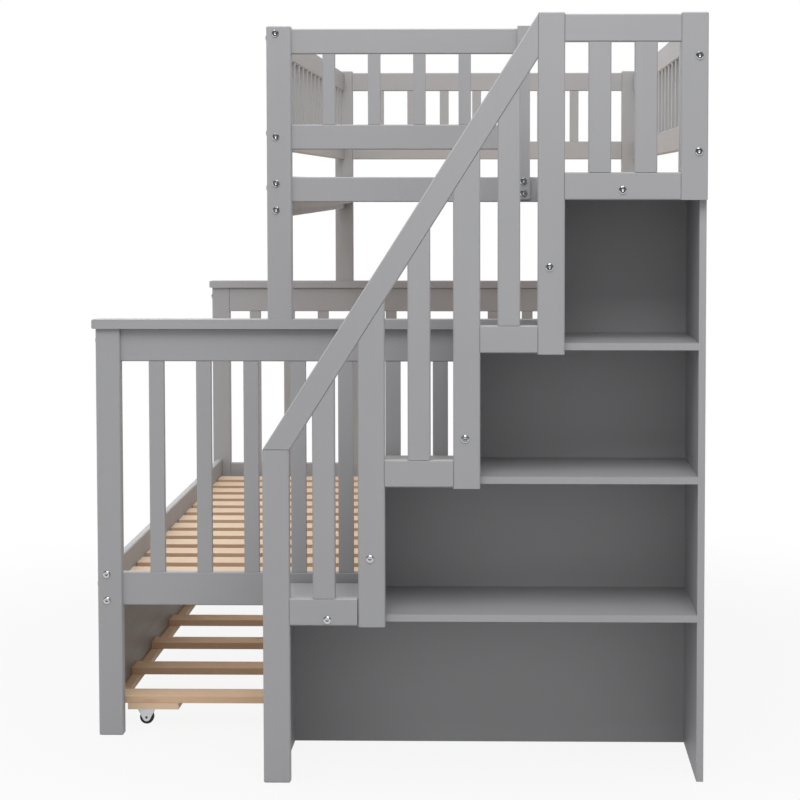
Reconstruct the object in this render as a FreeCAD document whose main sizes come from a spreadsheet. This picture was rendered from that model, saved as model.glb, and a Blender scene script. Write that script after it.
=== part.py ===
"""Twin over full bunk bed with a bookcase stair and a pull-out trundle.

Millimetres. +X is the wall side of the bed, +Y runs from the stair end to the far end, +Z is up.
The origin is on the floor, at the middle of the whole object.
"""
import FreeCAD, Part
import math
import os
import re
from types import SimpleNamespace

from FreeCAD import Placement, Rotation, Vector

SIZES = {
    # Bed frame
    "lower_width": 1460.0,
    "upper_width": 1036.0,
    "bed_length": 1970.0,
    "post_width": 60.0,
    "post_depth": 30.0,
    "lower_post_height": 1011.0,
    "upper_post_height": 715.0,
    "edge_ease": 2.5,
    "cap_thickness": 23.0,
    "cap_overhang": 9.0,
    "board_thickness": 20.0,
    # Lower bed end panels
    "lower_top_rail_height": 81.0,
    "lower_bottom_rail_height": 83.0,
    "lower_bottom_rail_level": 324.0,
    "lower_baluster_width": 37.0,
    "lower_baluster_offset": 87.0,
    "baluster_thickness": 18.0,
    # Side rails, ledgers and slats
    "side_rail_height": 102.0,
    "side_rail_inset": 12.0,
    "wall_rail_inset": 1.0,
    "lower_side_rail_level": 319.0,
    "upper_side_rail_rise": 249.0,
    "side_bolt_margin": 18.5,
    "ledger_width": 22.0,
    "ledger_height": 30.0,
    "upper_ledger_lift": 18.0,
    "slat_width": 79.0,
    "slat_thickness": 18.0,
    "slat_offset": 84.0,
    "slat_end_gap": 1.0,
    "beam_size": 40.0,
    # Upper bunk end panels and guards
    "end_rail_height": 61.0,
    "top_rail_drop": 6.0,
    "guard_rail_rise": 415.5,
    "upper_end_rail_rise": 287.5,
    "upper_baluster_width": 30.0,
    "upper_baluster_offset": 91.0,
    "upper_baluster_far_offset": 51.0,
    "spindle_offset": 115.0,
    "entry_width": 363.0,
    "entry_post_width": 31.0,
    "entry_lap": 54.0,
    "entry_bolt_end_gap": 2.0,
    # Stair carcass
    "stair_length": 1004.0,
    "stair_depth": 354.0,
    "panel_thickness": 16.0,
    "rise_one": 384.0,
    "rise_two": 317.0,
    "rise_three": 305.0,
    "platform_above_rail": 38.5,
    "run_one": 217.0,
    "run_two": 216.0,
    "run_three": 190.0,
    "riser_setback": 19.0,
    "nosing": 12.0,
    "dado_depth": 6.0,
    "dado_clearance": 0.2,
    "back_panel_thickness": 12.0,
    "back_panel_inset": 19.0,
    # Stair guard
    "guard_thickness": 24.0,
    "guard_post_width": 61.0,
    "guard_rail_height": 62.0,
    "guard_baluster_width": 51.0,
    "newel_height": 764.0,
    "handrail_width": 53.0,
    "guard_top_drop": 4.0,
    "step_rail_drop": 21.0,
    "platform_rail_drop": 30.0,
    "post_foot_drop": 3.0,
    "first_rail_gap": 2.0,
    "side_guard_top_drop": 97.0,
    "side_guard_above_platform": 78.0,
    "side_guard_inset": 6.0,
    "side_guard_bolt_edge": 6.0,
    # Trundle
    "trundle_length": 1819.0,
    "trundle_width": 1000.0,
    "trundle_slat_width": 73.0,
    "trundle_slat_thickness": 18.5,
    "trundle_rail_width": 22.0,
    "trundle_rail_height": 16.0,
    "front_panel_thickness": 12.0,
    "front_panel_recess": 1.0,
    "front_panel_clearance": 10.0,
    "front_panel_level": 30.0,
    "front_panel_top_gap": 14.0,
    "block_length": 128.0,
    "block_inset": 44.0,
    "caster_height": 45.0,
    "caster_inset": 42.0,
    "wheel_diameter": 35.0,
    "wheel_width": 14.0,
    "wheel_side_gap": 1.0,
    "fork_length": 48.0,
    "fork_lobe_drop": 7.5,
    "fork_metal": 2.5,
    "axle_diameter": 6.0,
    "axle_clearance": 0.15,
    # Fasteners
    "bolt_diameter": 6.0,
    "bolt_head_diameter": 18.0,
    "bolt_head_height": 3.5,
    "bolt_clearance": 0.3,
    "bolt_cross_gap": 10.0,
    "end_bolt_rise": 11.0,
    "bolt_reach": 38.0,
    "top_bolt_drop": 12.0,
    "entry_bolt_rise": 15.0,
    "entry_bolt_drop": 10.5,
    "first_bolt_shift": 7.5,
    "nut_diameter": 10.0,
    "nut_length": 14.0,
    "nut_setback": 8.0,
    "pin_diameter": 10.0,
    "pin_reach": 22.0,
}

# Counts of the repeated pieces
LOWER_BALUSTERS = 11
NEAR_BALUSTERS = 4
FAR_BALUSTERS = 8
SPINDLES = 16
SLATS = 14
TRUNDLE_SLATS = 7
PLATFORM_BALUSTERS = 2

# Flats on the small repeated hardware, and on the holes that it goes into
HEAD_SIDES = 8
SHANK_SIDES = 6
AXLE_SIDES = 12
BORE_SIDES = 16
WHEEL_SIDES = 48
LOBE_SIDES = 6

# Which edges of a board are eased: the long ones, and those at the level of a named end
LONG_EDGE_SHARE = 0.6
SAME_LEVEL = 0.01

# The post beside the stair platform, which is slim above the end rail
STEPPED_POST = "upper_post_near_right"

# How far up each riser its bolt sits, as a share of that riser
RISER_BOLT_SHARES = (0.44, 0.31, 0.51)

X_AXIS = Vector(1, 0, 0)
Y_AXIS = Vector(0, 1, 0)
Z_AXIS = Vector(0, 0, 1)

doc = FreeCAD.newDocument("bunk_bed")
sheet = doc.addObject("Spreadsheet::Sheet", "sizes")
for row, (alias, value) in enumerate(SIZES.items(), start=1):
    sheet.set(f"A{row}", alias)
    sheet.set(f"B{row}", str(value))
    sheet.setAlias(f"B{row}", alias)
doc.recompute()
s = SimpleNamespace(**{alias: float(sheet.get(alias)) for alias in SIZES})

pieces = {}
bolt_holes = {}
nut_holes = {}
bolts = []
nuts = []
pins = []


def bind(item, prop, expression):
    """Tie a property to the sheet; the expression uses the sheet's own names."""
    item.setExpression(prop, re.sub(r"[a-z][a-z_]+", r"sizes.\g<0>", expression))


def box(size, corner):
    """A plain board: three expressions for its size, and its lowest corner."""
    item = doc.addObject("Part::Box", "board")
    for prop, expression in zip(("Length", "Width", "Height"), size):
        bind(item, prop, expression)
    item.Placement = Placement(Vector(*corner), Rotation())
    item.recompute()
    return item


def eased(item, end=None):
    """Break the long edges of a board, and those of its top or bottom end if one is named."""
    edges = item.Shape.Edges
    longest = max(edge.Length for edge in edges)
    bounds = item.Shape.BoundBox
    level = {"top": bounds.ZMax, "bottom": bounds.ZMin}.get(end)

    def picked(edge):
        if edge.Length > LONG_EDGE_SHARE * longest:
            return True
        return level is not None and all(abs(corner.Z - level) < SAME_LEVEL
                                         for corner in edge.Vertexes)

    chamfer = doc.addObject("Part::Chamfer", "eased")
    chamfer.Base = item
    chamfer.Edges = [(n, s.edge_ease, s.edge_ease) for n, edge in enumerate(edges, start=1)
                     if picked(edge)]
    chamfer.recompute()
    return chamfer


def board(label, size, corner, end=None):
    """A board with eased edges that is a sub-part by itself."""
    pieces[label] = eased(box(size, corner), end)


def group(label, items):
    """Separate solids that share one sub-part."""
    compound = doc.addObject("Part::Compound", "group")
    compound.Links = items
    compound.recompute()
    pieces[label] = compound


def plate(outline, front, thickness):
    """A flat piece cut to an outline of (x, z) points, with its front face at y = front."""
    wire = doc.addObject("Part::Polygon", "outline")
    wire.Nodes = [Vector(x, front, z) for x, z in outline]
    wire.Close = True
    wire.recompute()
    item = doc.addObject("Part::Extrusion", "plate")
    item.Base = wire
    item.DirMode = "Custom"
    item.Dir = Y_AXIS
    item.Solid = True
    bind(item, "LengthFwd", thickness)
    item.recompute()
    return item


def rod(diameter, length, start, direction, sides):
    """A bar of the sheet's diameter with some flats, from a start point along a direction."""
    item = doc.addObject("Part::Prism", "rod")
    bind(item, "Circumradius", f"({diameter}) / 2")
    item.Polygon = sides
    item.Height = length
    item.Placement = Placement(start, Rotation(Z_AXIS, direction))
    item.recompute()
    return item


def joined(base, tool, kind="Part::Fuse"):
    """Two solids fused, or the second cut from the first."""
    item = doc.addObject(kind, "joined")
    item.Base = base
    item.Tool = tool
    item.recompute()
    return item


def bolt(seat, direction, grip, through, into, reach=None, nut_axis=None):
    """A bolt with its head on the seat, its clearance hole, and the barrel nut that it pulls on."""
    length = grip + (s.bolt_reach if reach is None else reach)
    head = rod("bolt_head_diameter", s.bolt_head_height, seat, -direction, HEAD_SIDES)
    shank = rod("bolt_diameter", length, seat, direction, SHANK_SIDES)
    bolts.append(joined(head, shank))
    hole = rod("bolt_diameter + 2 * bolt_clearance", length + s.bolt_clearance, seat, direction,
               SHANK_SIDES)
    for label in (through, into):
        bolt_holes.setdefault(label, []).append(hole)
    if nut_axis is None:
        return
    middle = seat + direction * (length - s.nut_setback)
    nuts.append(rod("nut_diameter", s.nut_length, middle - nut_axis * (s.nut_length / 2), nut_axis,
                    SHANK_SIDES))
    pocket_start = middle - nut_axis * (s.nut_length / 2 + s.bolt_clearance)
    pocket = rod("nut_diameter + 2 * bolt_clearance", s.board_thickness, pocket_start, nut_axis,
                 SHANK_SIDES)
    nut_holes.setdefault(into, []).append(pocket)


# Main planes of the bed, from the driving sizes
overall_length = (s.bolt_head_height + s.guard_thickness + s.stair_depth
                  + s.bed_length + 2 * s.cap_overhang)
guard_front = -overall_length / 2 + s.bolt_head_height
carcass_front = guard_front + s.guard_thickness
carcass_back = carcass_front + s.stair_depth
bed_near = carcass_back + s.cap_overhang
bed_far = bed_near + s.bed_length
inner_near = bed_near + s.post_depth
inner_far = bed_far - s.post_depth
bed_middle = (bed_near + bed_far) / 2

lower_right = s.lower_width / 2
lower_left = -lower_right
upper_right = lower_right
upper_left = upper_right - s.upper_width
cap_top = s.lower_post_height + s.cap_thickness
bed_top = cap_top + s.upper_post_height
guard_rail_level = cap_top + s.guard_rail_rise
end_rail_level = cap_top + s.upper_end_rail_rise
upper_rail_level = cap_top + s.upper_side_rail_rise
platform_top = end_rail_level + s.platform_above_rail

INNER_LENGTH = "bed_length - 2 * post_depth"
rail_y = {"near": inner_near - s.board_thickness, "far": inner_far}
post_y = {"near": bed_near, "far": inner_far}
inward_y = {"near": Y_AXIS, "far": -Y_AXIS}
inward_x = {"left": X_AXIS, "right": -X_AXIS}
outer_y = {"near": bed_near, "far": bed_far}
ENDS = ("near", "far")
SIDES = ("left", "right")
RIGHT_INSET = {"lower": "side_rail_inset", "upper": "wall_rail_inset"}


def spread(first, last, count):
    """Evenly spaced places from the first to the last."""
    return [first + (last - first) * n / (count - 1) for n in range(count)]


def end_rail(end, left, width, level, height):
    """A horizontal rail of an end panel, flush with the inner faces of its posts."""
    return eased(box((width, "board_thickness", height), (left, rail_y[end], level)))


def end_balusters(label, end, centres, width, level, height):
    """Flat uprights of an end panel, centred in the thickness of its rails."""
    front = rail_y[end] + (s.board_thickness - s.baluster_thickness) / 2
    half = getattr(s, width) / 2
    size = (width, "baluster_thickness", height)
    group(label, [box(size, (x - half, front, level)) for x in centres])


def make_posts(name, left, right, level, height, free_end):
    """Corner posts of a bed, apart from the one that is stepped."""
    for end in ENDS:
        for side, x in zip(SIDES, (left, right - s.post_width)):
            label = f"{name}_post_{end}_{side}"
            if label != STEPPED_POST:
                board(label, ("post_width", "post_depth", height), (x, post_y[end], level),
                      free_end)


def rail_x(name, side, left, right):
    """Lowest x of a side rail that is let in from the outer faces of the posts."""
    if side == "left":
        return left + s.side_rail_inset
    return right - getattr(s, RIGHT_INSET[name]) - s.board_thickness


def side_bolts(name, side, x, levels, into):
    """Bolts through both posts of a side into the ends of the rail between them."""
    for end in ENDS:
        for level in levels:
            bolt(Vector(x, outer_y[end], level), inward_y[end], s.post_depth,
                 f"{name}_post_{end}_{side}", into, nut_axis=inward_x[side])


def end_bolt(name, end, side, x, level, into):
    """A bolt through the side of a post into the end of an end panel's rail."""
    y = rail_y[end] + s.board_thickness / 2
    bolt(Vector(x, y, level), inward_x[side], s.post_width, f"{name}_post_{end}_{side}", into,
         nut_axis=Y_AXIS)


def side_structure(name, left, right, level, lift=0):
    """Side rails with their ledgers, the slats that lie on them, and the bolts."""
    ledgers = []
    for side in SIDES:
        x = rail_x(name, side, left, right)
        label = f"{name}_side_rail_{side}"
        board(label, ("board_thickness", INNER_LENGTH, "side_rail_height"), (x, inner_near, level))
        ledger_x = x + s.board_thickness if side == "left" else x - s.ledger_width
        ledgers.append(box(("ledger_width", INNER_LENGTH, "ledger_height"),
                           (ledger_x, inner_near, level + lift)))
        side_bolts(name, side, x + s.board_thickness / 2,
                   (level + s.side_bolt_margin, level + s.side_rail_height - s.side_bolt_margin),
                   label)
    inside = rail_x(name, "left", left, right) + s.board_thickness
    width = (f"{name}_width - side_rail_inset - {RIGHT_INSET[name]}"
             " - 2 * (board_thickness + slat_end_gap)")
    centres = spread(inner_near + s.slat_offset, inner_far - s.slat_offset, SLATS)
    group(f"{name}_slats", [
        box((width, "slat_width", "slat_thickness"),
            (inside + s.slat_end_gap, y - s.slat_width / 2, level + lift + s.ledger_height))
        for y in centres])
    return ledgers


def make_lower_bed():
    """Posts, end panels with their caps, side rails, slats and the beam under the slats."""
    make_posts("lower", lower_left, lower_right, 0, "lower_post_height", "bottom")
    span = "lower_width - 2 * post_width"
    first = lower_left + s.post_width
    centres = spread(first + s.lower_baluster_offset, -first - s.lower_baluster_offset,
                     LOWER_BALUSTERS)
    top_level = s.lower_post_height - s.lower_top_rail_height
    low_top = s.lower_bottom_rail_level + s.lower_bottom_rail_height
    baluster_height = ("lower_post_height - lower_top_rail_height"
                       " - lower_bottom_rail_level - lower_bottom_rail_height")
    for end in ENDS:
        rails = f"lower_end_rails_{end}"
        group(rails, [
            end_rail(end, first, span, s.lower_bottom_rail_level, "lower_bottom_rail_height"),
            end_rail(end, first, span, top_level, "lower_top_rail_height")])
        end_balusters(f"lower_balusters_{end}", end, centres, "lower_baluster_width", low_top,
                      baluster_height)
        board(f"lower_cap_{end}",
              ("lower_width + 2 * cap_overhang", "post_depth + 2 * cap_overhang", "cap_thickness"),
              (lower_left - s.cap_overhang, post_y[end] - s.cap_overhang, s.lower_post_height))
        for side, x in zip(SIDES, (lower_left, lower_right)):
            for level, height in ((top_level, s.lower_top_rail_height),
                                  (s.lower_bottom_rail_level, s.lower_bottom_rail_height)):
                end_bolt("lower", end, side, x, level + height / 2 + s.end_bolt_rise, rails)
    slat_level = s.lower_side_rail_level + s.ledger_height
    board("lower_centre_beam", ("beam_size", INNER_LENGTH, "beam_size"),
          (-s.beam_size / 2, inner_near, slat_level - s.beam_size))
    return side_structure("lower", lower_left, lower_right, s.lower_side_rail_level)


def make_upper_bunk():
    """Posts on the caps, end panels with the stair entry, side guards, side rails and slats."""
    make_posts("upper", upper_left, upper_right, cap_top, "upper_post_height", "top")
    make_stepped_post()
    first = upper_left + s.post_width
    last = upper_right - s.post_width
    entry_left = upper_right - s.entry_width - 2 * s.entry_post_width
    top_level = bed_top - s.top_rail_drop - s.end_rail_height
    guard_top = guard_rail_level + s.end_rail_height
    full = "upper_width - 2 * post_width"
    short = "upper_width - post_width - entry_width - 2 * entry_post_width"
    centres = spread(first + s.upper_baluster_offset, last - s.upper_baluster_far_offset,
                     FAR_BALUSTERS)
    filled = {"near": (short, centres[:NEAR_BALUSTERS]), "far": (full, centres)}
    upright = "upper_post_height - top_rail_drop - 2 * end_rail_height - guard_rail_rise"
    guard_bolt_level = guard_rail_level + s.end_rail_height / 2
    top_bolt_level = top_level + s.end_rail_height - s.top_bolt_drop
    low_bolt_level = upper_rail_level + s.side_rail_height - s.side_bolt_margin
    for end in ENDS:
        width, uprights = filled[end]
        guard, low = f"upper_guard_rails_{end}", f"upper_end_rail_{end}"
        group(guard, [end_rail(end, first, width, level, "end_rail_height")
                      for level in (guard_rail_level, top_level)])
        pieces[low] = end_rail(end, first, full, end_rail_level, "end_rail_height")
        end_balusters(f"upper_balusters_{end}", end, uprights, "upper_baluster_width", guard_top,
                      upright)
        for side, x in zip(SIDES, (upper_left, upper_right)):
            end_bolt("upper", end, side, x, low_bolt_level - s.bolt_cross_gap, low)
            if (end, side) == ("near", "right"):
                continue
            end_bolt("upper", end, side, x, top_bolt_level - s.bolt_cross_gap, guard)
            end_bolt("upper", end, side, x, guard_bolt_level + s.bolt_cross_gap, guard)
    make_entry_post(entry_left, top_level)
    make_side_guards(top_level, guard_top, upright, (guard_bolt_level, top_bolt_level))
    return side_structure("upper", upper_left, upper_right, upper_rail_level,
                          s.upper_ledger_lift)


def make_stepped_post():
    """The post at the stair: full width up to the end rail, and slim above it to leave room."""
    step = end_rail_level + s.end_rail_height
    foot = eased(box(("post_width", "post_depth", "upper_end_rail_rise + end_rail_height"),
                     (upper_right - s.post_width, bed_near, cap_top)))
    shaft = eased(box(("entry_post_width", "post_depth",
                       "upper_post_height - upper_end_rail_rise - end_rail_height"),
                      (upper_right - s.entry_post_width, bed_near, step)), "top")
    pieces[STEPPED_POST] = joined(foot, shaft)


def make_entry_post(left, top_level):
    """The slim post beside the entry, with a lapped foot bolted over the end rail."""
    lap = s.post_depth - s.board_thickness
    lap_top = end_rail_level + s.end_rail_height
    foot = lap_top - s.entry_lap
    shaft = box(("entry_post_width", "post_depth",
                 "upper_post_height - upper_end_rail_rise - end_rail_height"),
                (left, bed_near, lap_top))
    tongue = box(("entry_post_width", "post_depth - board_thickness", "entry_lap"),
                 (left, bed_near, foot))
    pieces["entry_post"] = joined(shaft, tongue)
    middle = left + s.entry_post_width / 2
    for level in (foot + s.entry_bolt_rise, lap_top - s.entry_bolt_drop):
        bolt(Vector(middle, bed_near, level), Y_AXIS, lap, "entry_post", "upper_end_rail_near",
             reach=s.board_thickness - s.entry_bolt_end_gap)
    y = rail_y["near"] + s.board_thickness / 2
    for level in (top_level, guard_rail_level):
        start = Vector(left - s.pin_reach, y, level + s.end_rail_height / 2)
        pin(start, X_AXIS, s.pin_reach + s.entry_post_width / 2,
            ("entry_post", "upper_guard_rails_near"))


def pin(start, direction, length, labels):
    """A plain steel pin, and its hole in each piece that it goes into."""
    pins.append(rod("pin_diameter", length, start, direction, SHANK_SIDES))
    hole = rod("pin_diameter + 2 * bolt_clearance", length + 2 * s.bolt_clearance,
               start - direction * s.bolt_clearance, direction, SHANK_SIDES)
    for label in labels:
        bolt_holes.setdefault(label, []).append(hole)


def make_side_guards(top_level, guard_top, upright, bolt_levels):
    """Long guard rails on both sides of the upper bunk with close upright spindles."""
    for side in SIDES:
        x = rail_x("upper", side, upper_left, upper_right)
        size = ("board_thickness", INNER_LENGTH, "end_rail_height")
        rails = f"side_guard_rails_{side}"
        group(rails, [eased(box(size, (x, inner_near, level)))
                      for level in (guard_rail_level, top_level)])
        spindle_x = x + (s.board_thickness - s.baluster_thickness) / 2
        centres = spread(inner_near + s.spindle_offset, inner_far - s.spindle_offset, SPINDLES)
        group(f"side_guard_spindles_{side}", [
            box(("baluster_thickness", "upper_baluster_width", upright),
                (spindle_x, y - s.upper_baluster_width / 2, guard_top)) for y in centres])
        side_bolts("upper", side, x + s.board_thickness / 2, bolt_levels, rails)


def make_stacking_pins():
    """Steel pins through the caps that keep the upper posts on the lower bed."""
    for end in ENDS:
        y = rail_y[end] + s.board_thickness / 2
        below = {"left": f"lower_end_rails_{end}", "right": f"lower_post_{end}_right"}
        for side, x in zip(SIDES, (upper_left + s.post_width / 2, upper_right - s.post_width / 2)):
            start = Vector(x, y, s.lower_post_height - s.pin_reach)
            pin(start, Z_AXIS, s.cap_thickness + 2 * s.pin_reach,
                (below[side], f"lower_cap_{end}", f"upper_post_{end}_{side}"))
    group("stacking_pins", pins)


# Stair planes: the left edge of each guard post, the tread tops and the riser faces
stair_right = lower_right
RUNS = ("run_one", "run_two", "run_three")
PLATFORM_TOP = ("lower_post_height + cap_thickness + upper_end_rail_rise"
                " + platform_above_rail")
RISES = ("rise_one", "rise_two", "rise_three",
         f"{PLATFORM_TOP} - rise_one - rise_two - rise_three")
STAIR_BEYOND = [" - ".join(("stair_length",) + RUNS[:n]) for n in range(len(RISES))]
runs = [getattr(s, run) for run in RUNS]
rises = [s.rise_one, s.rise_two, s.rise_three]
rises.append(platform_top - sum(rises))
post_lefts = [stair_right - s.stair_length + sum(runs[:n]) for n in range(len(rises))]
tread_tops = [sum(rises[:n + 1]) for n in range(len(rises))]
riser_lefts = [x + s.riser_setback for x in post_lefts]
panel_inside = stair_right - s.panel_thickness


def make_stair_carcass():
    """Risers, treads that run on as shelves, back panels, side panel and platform."""
    depth = "stair_depth"
    treads, risers, backs, grooves = [], [], [], []
    back_y = carcass_back - s.back_panel_inset - s.back_panel_thickness
    floor = 0
    for n, (left, top) in enumerate(zip(riser_lefts, tread_tops)):
        under = top - s.panel_thickness
        clear = f"{RISES[n]} - panel_thickness"
        risers.append(box(("panel_thickness", depth, clear), (left, carcass_front, floor)))
        inside = left + s.panel_thickness
        going = STAIR_BEYOND[n]
        backs.append(box((f"{going} - riser_setback - 2 * panel_thickness", "back_panel_thickness",
                          clear), (inside, back_y, floor)))
        end = "" if n == len(RISES) - 1 else " - panel_thickness + dado_depth"
        treads.append(box((f"{going} - riser_setback + nosing{end}", depth, "panel_thickness"),
                          (left - s.nosing, carcass_front, under)))
        floor = top
    group("stair_treads", treads[:-1])
    pieces["stair_platform"] = treads[-1]
    group("stair_risers", risers)
    group("stair_back_panels", backs)
    panel = box(("panel_thickness", depth, f"{PLATFORM_TOP} - panel_thickness"),
                (panel_inside, carcass_front, 0))
    for top in tread_tops[:-1]:
        grooves.append(box(("dado_depth + dado_clearance", depth,
                            "panel_thickness + 2 * dado_clearance"),
                           (panel_inside, carcass_front,
                            top - s.panel_thickness - s.dado_clearance)))
    tool = doc.addObject("Part::Compound", "grooves")
    tool.Links = grooves
    tool.recompute()
    pieces["stair_side_panel"] = joined(panel, tool, "Part::Cut")


def make_stair_guard():
    """The raked guard: newel, posts, handrail, rails and balusters mitred to the pitch."""
    thick = "guard_thickness"
    width = s.guard_post_width
    newel, *post_left = post_lefts
    top_line = bed_top - s.guard_top_drop
    run = post_left[-1] - newel
    pitch = math.atan2(top_line - s.newel_height, run)
    drop = s.handrail_width / math.cos(pitch)
    slope = math.tan(pitch)

    def under_rail(x):
        """Height of the handrail's lower edge above a place on the stair."""
        return s.newel_height + (x - newel) * slope - drop

    def upright(left, across, foot):
        """A post or baluster that ends against the handrail."""
        right = left + across
        return eased(plate([(left, foot), (right, foot), (right, under_rail(right)),
                            (left, under_rail(left))], guard_front, thick))

    def straight(left, right, foot, top, end=None):
        """A square-ended piece of the guard."""
        return eased(plate([(left, foot), (right, foot), (right, top), (left, top)],
                           guard_front, thick), end)

    corner_left = stair_right - width
    rail_feet = [top - s.step_rail_drop for top in tread_tops[:-1]]
    platform_foot = platform_top - s.platform_rail_drop
    pieces["newel_post"] = straight(newel, newel + width, 0, s.newel_height, "bottom")
    pieces["handrail"] = eased(plate([
        (newel, s.newel_height), (newel + drop / slope, s.newel_height),
        (post_left[-1], under_rail(post_left[-1])), (post_left[-1], top_line)],
        guard_front, thick))
    group("stair_posts", [upright(x, width, foot - s.post_foot_drop)
                          for x, foot in zip(post_left[:-1], rail_feet)]
          + [straight(post_left[-1], post_left[-1] + width, rail_feet[-1] - s.post_foot_drop,
                      bed_top, "top")])
    pieces["corner_post"] = straight(corner_left, stair_right, platform_foot, bed_top, "top")

    bays = list(zip(post_lefts, post_lefts[1:]))
    rail_gaps = (s.first_rail_gap, 0, 0)
    group("step_rails", [straight(left + width, right - gap, foot, foot + s.guard_rail_height)
                         for (left, right), foot, gap in zip(bays, rail_feet, rail_gaps)])
    deck_left = post_left[-1] + width
    upper_foot = top_line - s.guard_rail_height
    group("platform_guard_rails", [
        straight(deck_left, corner_left, foot, foot + s.guard_rail_height)
        for foot in (platform_foot, upper_foot)])
    across = s.guard_baluster_width
    balusters = []
    for (left, right), foot in zip(bays, rail_feet):
        middle = (left + width + right) / 2
        balusters.append(upright(middle - across / 2, across, foot + s.guard_rail_height))
    gap = (corner_left - deck_left - PLATFORM_BALUSTERS * across) / (PLATFORM_BALUSTERS + 1)
    for n in range(PLATFORM_BALUSTERS):
        left = deck_left + gap + n * (across + gap)
        balusters.append(straight(left, left + across, platform_foot + s.guard_rail_height,
                                  upper_foot))
    group("stair_balusters", balusters)

    def guard_bolt(x, level, through, into):
        bolt(Vector(x, guard_front, level), Y_AXIS, s.guard_thickness, through, into)

    half_board = s.panel_thickness / 2
    first_bay = (post_lefts[0] + width + post_lefts[1]) / 2
    guard_bolt(first_bay + s.first_bolt_shift, tread_tops[0] - half_board, "step_rails",
               "stair_treads")
    guard_bolt((deck_left + corner_left) / 2, platform_top - half_board, "platform_guard_rails",
               "stair_platform")
    for n, share in enumerate(RISER_BOLT_SHARES, start=1):
        level = tread_tops[n - 1] + share * (rises[n] - s.panel_thickness)
        guard_bolt(riser_lefts[n] + half_board, level, "stair_posts", "stair_risers")
    return guard_bolt


def make_platform_side(guard_bolt):
    """Two rails on the wall side of the platform, from the corner post to the bed."""
    left = stair_right - s.side_guard_inset - s.board_thickness
    rails = []
    for middle in (platform_top + s.side_guard_above_platform, bed_top - s.side_guard_top_drop):
        rails.append(eased(box(
            ("board_thickness", "stair_depth + cap_overhang", "end_rail_height"),
            (left, carcass_front, middle - s.end_rail_height / 2))))
        guard_bolt(left + s.side_guard_bolt_edge, middle, "corner_post", "platform_side_rails")
    group("platform_side_rails", rails)


# Trundle planes
trundle_near = bed_middle - s.trundle_length / 2
trundle_far = bed_middle + s.trundle_length / 2
panel_left = lower_left + s.front_panel_recess
trundle_left = panel_left + s.front_panel_thickness
trundle_right = trundle_left + s.trundle_width
deck_level = s.caster_height + s.trundle_rail_height


def make_trundle():
    """Front panel, side rails, spaced slats and the blocks that carry the casters."""
    panel_length = "bed_length - 2 * post_depth - 2 * front_panel_clearance"
    board("trundle_front_panel",
          ("front_panel_thickness", panel_length,
           "lower_side_rail_level - front_panel_top_gap - front_panel_level"),
          (panel_left, inner_near + s.front_panel_clearance, s.front_panel_level))
    rail_lefts = (trundle_left, trundle_right - s.trundle_rail_width)
    group("trundle_side_rails", [
        box(("trundle_rail_width", "trundle_length", "trundle_rail_height"),
            (x, trundle_near, s.caster_height)) for x in rail_lefts])
    half = s.trundle_slat_width / 2
    group("trundle_slats", [
        box(("trundle_width", "trundle_slat_width", "trundle_slat_thickness"),
            (trundle_left, y - half, deck_level))
        for y in spread(trundle_near + half, trundle_far - half, TRUNDLE_SLATS)])
    block_lefts = {"left": trundle_left + s.block_inset,
                   "right": trundle_right - s.block_inset - s.block_length}
    wheel_x = {"left": trundle_left + s.block_inset + s.caster_inset,
               "right": trundle_right - s.block_inset - s.caster_inset}
    wheel_y = {"near": trundle_near + half, "far": trundle_far - half}
    blocks, forks, axles = [], [], []
    for end in ENDS:
        for side in SIDES:
            blocks.append(box(("block_length", "trundle_slat_width", "trundle_rail_height"),
                              (block_lefts[side], wheel_y[end] - half, s.caster_height)))
            fork, axle, wheel = make_caster(wheel_x[side], wheel_y[end])
            forks.append(fork)
            axles.append(axle)
            pieces[f"caster_wheel_{end}_{side}"] = wheel
    group("caster_blocks", blocks)
    group("caster_forks", forks)
    group("caster_axles", axles)


def make_caster(x, y):
    """A rigid caster: pressed fork, an axle riveted between its legs, and a wheel that turns."""
    hub_level = s.wheel_diameter / 2
    inside = s.wheel_width / 2 + s.wheel_side_gap
    outside = inside + s.fork_metal
    plate_level = s.caster_height - s.fork_metal
    fork = box(("fork_length", "wheel_width + 2 * (wheel_side_gap + fork_metal)", "fork_metal"),
               (x - s.fork_length / 2, y - outside, plate_level))
    half_top = s.fork_length / 2
    rise = plate_level - hub_level
    lobe = hub_level - s.fork_lobe_drop
    touch = math.atan2(rise, -half_top) + math.acos(lobe / math.hypot(half_top, rise))
    outline = [(x + half_top, plate_level), (x - half_top, plate_level)]
    for angle in spread(touch, 3 * math.pi - touch, LOBE_SIDES + 1):
        outline.append((x + lobe * math.cos(angle), hub_level + lobe * math.sin(angle)))
    for leg_y in (y - outside, y + inside):
        fork = joined(fork, plate(outline, leg_y, "fork_metal"))
    axle = rod("axle_diameter", 2 * inside, Vector(x, y - inside, hub_level), Y_AXIS, AXLE_SIDES)
    return fork, axle, make_wheel(x, y, hub_level)


def make_wheel(x, y, hub_level):
    """A wheel bored for its axle; its flats are so narrow that it runs as a round one."""
    start = Vector(x, y - s.wheel_width / 2, hub_level)
    tread = rod("wheel_diameter", s.wheel_width, start, Y_AXIS, WHEEL_SIDES)
    bore = rod("axle_diameter + 2 * axle_clearance", s.wheel_width, start, Y_AXIS, BORE_SIDES)
    return joined(tread, bore, "Part::Cut")


def drilled(item, holes):
    """A piece with its holes cut; the holes of one list never cross."""
    if not holes:
        return item
    tool = doc.addObject("Part::Compound", "holes")
    tool.Links = holes
    tool.recompute()
    return joined(item, tool, "Part::Cut")


def check_document():
    """Stop before anything is written if an object failed."""
    failed = [item.Name for item in doc.Objects
              if {"Invalid", "Error"} & set(item.State)]
    if failed:
        raise RuntimeError(f"failed objects: {failed}")


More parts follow.
